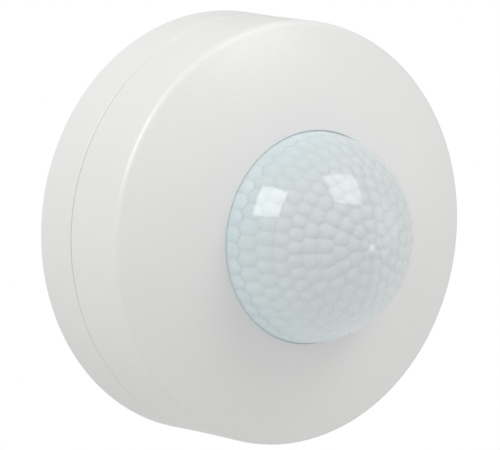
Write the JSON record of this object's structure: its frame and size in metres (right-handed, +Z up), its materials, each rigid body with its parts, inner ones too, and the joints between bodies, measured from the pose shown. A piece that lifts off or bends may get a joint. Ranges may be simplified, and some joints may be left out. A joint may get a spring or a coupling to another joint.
{
  "type": "motion sensor",
  "caption": "Round surface-mounted ceiling or wall motion sensor with a twist-off domed cover, a faceted dome lens and the power and sensor boards inside.",
  "frame": {"origin": "centre of the flat mounting face at the back of the base", "axes": "+Y out of the back into the wall or ceiling, -Y along the lens axis into the room, +Z up, +X to the right seen from the front"},
  "size_m": [0.117, 0.0703, 0.117],
  "materials": {
    "white_housing": "fine spark-eroded satin ABS",
    "lens_plastic": "milky polyethylene, smooth outside",
    "inner_plastic": "smooth natural ABS",
    "grey_rubber": "soft moulded rubber",
    "circuit_board": "solder-masked glass laminate",
    "zinc_steel": "zinc plated",
    "brass_parts": "nickel-free pressed brass",
    "terminal_plastic": "moulded polyamide",
    "relay_plastic": "moulded polyester",
    "film_capacitor_resin": "filled box",
    "varistor_epoxy": "dipped epoxy",
    "fuse_ceramic": "lacquered",
    "can_aluminium": "drawn",
    "sleeve_film": "shrunk film",
    "ferrite": "sintered",
    "copper_wire": "enamelled copper",
    "black_epoxy": "moulded epoxy",
    "tinned_wire": "tinned",
    "sensor_can": "nickel-plated",
    "sensor_window": "coated silicon",
    "light_cell": "lacquered cell",
    "led_resin": "diffused resin",
    "chip_ceramic": "fired",
    "trimmer_plastic": "moulded",
    "knob_plastic": "moulded"
  },
  "bodies": {
    "housing": {"base": "white_housing", "cable_grommet": "grey_rubber", "chip_capacitors": "chip_ceramic", "chip_resistors": "black_epoxy", "choke_core": "ferrite", "choke_winding": "copper_wire", "component_leads": "tinned_wire", "controller_chip": "black_epoxy", "controller_leads": "tinned_wire", "dropper_resistor": "fuse_ceramic", "electrolytic_cans": "can_aluminium", "electrolytic_sleeves": "sleeve_film", "film_capacitor": "film_capacitor_resin", "fuse": "fuse_ceramic", "inner_shield": "inner_plastic", "light_sensor": "light_cell", "link_pins": "tinned_wire", "link_spacers": "black_epoxy", "lux_trimmer": "trimmer_plastic", "pir_can": "sensor_can", "pir_holder": "inner_plastic", "pir_leads": "tinned_wire", "pir_window": "sensor_window", "power_board": "circuit_board", "power_board_screws": "zinc_steel", "rectifier_diodes": "black_epoxy", "relay_base": "relay_plastic", "relay_case": "relay_plastic", "sensitivity_trimmer": "trimmer_plastic", "sensor_board": "circuit_board", "sensor_board_screws": "zinc_steel", "shield_screws": "zinc_steel", "signal_leads": "tinned_wire", "status_led": "led_resin", "terminal_block": "terminal_plastic", "terminal_contacts": "brass_parts", "time_trimmer": "trimmer_plastic", "transistors": "black_epoxy", "varistor": "varistor_epoxy"},
    "cover": {"front_cover": "white_housing", "lens": "lens_plastic", "lens_ring": "inner_plastic"},
    "time_dial": {"time_knob": "knob_plastic"},
    "lux_dial": {"lux_knob": "knob_plastic"},
    "sensitivity_dial": {"sensitivity_knob": "knob_plastic"},
    "line_screw": {"terminal_screw_line": "zinc_steel"},
    "line_clamp": {"terminal_clamp_line": "brass_parts"},
    "neutral_screw": {"terminal_screw_neutral": "zinc_steel"},
    "neutral_clamp": {"terminal_clamp_neutral": "brass_parts"},
    "load_screw": {"terminal_screw_load": "zinc_steel"},
    "load_clamp": {"terminal_clamp_load": "brass_parts"}
  },
  "joints": [
    {"name": "cover_twist", "type": "hinge", "parent": "housing", "child": "cover", "pos_m": [0, -0.0175, 0], "axis": [0, -1, 0], "range_deg": [0, 16]},
    {"name": "time_knob_turn", "type": "hinge", "parent": "housing", "child": "time_dial", "pos_m": [-0.017, -0.0367, -0.003], "axis": [0, -1, 0], "range_deg": [-135, 135]},
    {"name": "lux_knob_turn", "type": "hinge", "parent": "housing", "child": "lux_dial", "pos_m": [0.017, -0.0367, -0.003], "axis": [0, -1, 0], "range_deg": [-135, 135]},
    {"name": "sensitivity_knob_turn", "type": "hinge", "parent": "housing", "child": "sensitivity_dial", "pos_m": [0, -0.0367, 0.016], "axis": [0, -1, 0], "range_deg": [-135, 135]},
    {"name": "line_screw_turn", "type": "hinge", "parent": "housing", "child": "line_screw", "pos_m": [-0.0075, -0.0205, -0.0256], "axis": [0, 1, 0], "range_deg": [0, 1584]},
    {"name": "line_clamp_rise", "type": "slide", "parent": "housing", "child": "line_clamp", "axis": [0, -1, 0], "range_m": [0, 0.0022]},
    {"name": "neutral_screw_turn", "type": "hinge", "parent": "housing", "child": "neutral_screw", "pos_m": [0, -0.0205, -0.0256], "axis": [0, 1, 0], "range_deg": [0, 1584]},
    {"name": "neutral_clamp_rise", "type": "slide", "parent": "housing", "child": "neutral_clamp", "axis": [0, -1, 0], "range_m": [0, 0.0022]},
    {"name": "load_screw_turn", "type": "hinge", "parent": "housing", "child": "load_screw", "pos_m": [0.0075, -0.0205, -0.0256], "axis": [0, 1, 0], "range_deg": [0, 1584]},
    {"name": "load_clamp_rise", "type": "slide", "parent": "housing", "child": "load_clamp", "axis": [0, -1, 0], "range_m": [0, 0.0022]}
  ],
  "couplings": [
    {"joint": "line_screw_turn", "follows": "line_clamp_rise", "rad_per_m": 12566},
    {"joint": "neutral_screw_turn", "follows": "neutral_clamp_rise", "rad_per_m": 12566},
    {"joint": "load_screw_turn", "follows": "load_clamp_rise", "rad_per_m": 12566}
  ]
}
